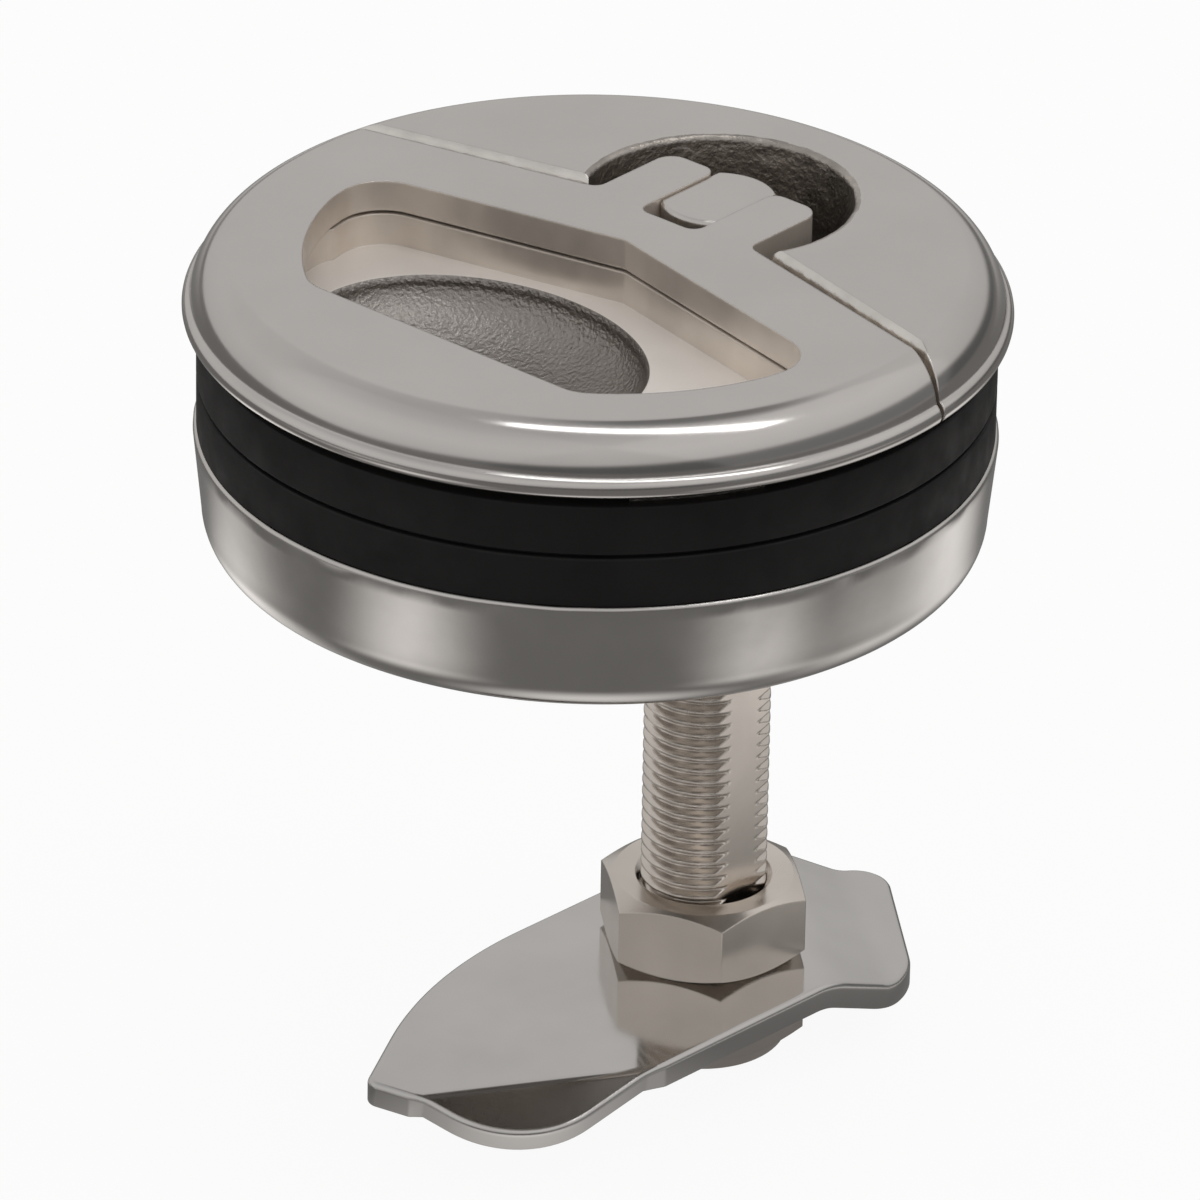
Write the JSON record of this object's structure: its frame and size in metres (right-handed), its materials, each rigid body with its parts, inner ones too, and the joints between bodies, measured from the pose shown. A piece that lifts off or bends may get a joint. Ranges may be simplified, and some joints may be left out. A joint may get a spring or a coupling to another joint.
{
  "type": "compression latch",
  "caption": "Flush lift-handle compression latch: round flange with a finger well, rubber seat rings, backing cup and a threaded shaft that draws up a cam plate.",
  "frame": {"origin": "centre of the round flange on the face that seats on the upper gasket", "axes": "+Z out of the deck, +Y from the finger well to the handle's hinge, +X along the hinge pin"},
  "size_m": [0.076, 0.0809, 0.0887],
  "materials": {
    "cast_steel": "satin polished cast stainless steel",
    "polished_steel": "polished drawn stainless steel",
    "machined_steel": "machined stainless steel",
    "black_rubber": "matt black rubber",
    "bush_plastic": "matt black acetal"
  },
  "bodies": {
    "latch_body": {"housing": "cast_steel", "shaft_bush": "bush_plastic", "shaft_seal": "black_rubber", "upper_gasket": "black_rubber", "lower_gasket": "black_rubber", "backing_cup": "polished_steel", "cup_screws": "machined_steel", "screw_washers": "black_rubber"},
    "shaft_body": {"shaft": "machined_steel", "hinge_pin": "machined_steel"},
    "handle_body": {"handle": "cast_steel"},
    "cam_body": {"cam": "polished_steel", "upper_cam_nut": "machined_steel", "lower_cam_nut": "machined_steel"}
  },
  "joints": [
    {"name": "shaft_drop", "type": "slide", "parent": "latch_body", "child": "shaft_body", "axis": [0, 0, -1], "range_m": [0, 0.003]},
    {"name": "handle_lift", "type": "hinge", "parent": "shaft_body", "child": "handle_body", "pos_m": [0, 0.0167, 0.0032], "axis": [-1, 0, 0], "range_deg": [0, 90]},
    {"name": "cam_adjust", "type": "slide", "parent": "shaft_body", "child": "cam_body", "axis": [0, 0, 1], "range_m": [0, 0.03]}
  ],
  "couplings": [
    {"joint": "shaft_drop", "follows": "handle_lift", "m_per_rad": 0.0019099}
  ]
}
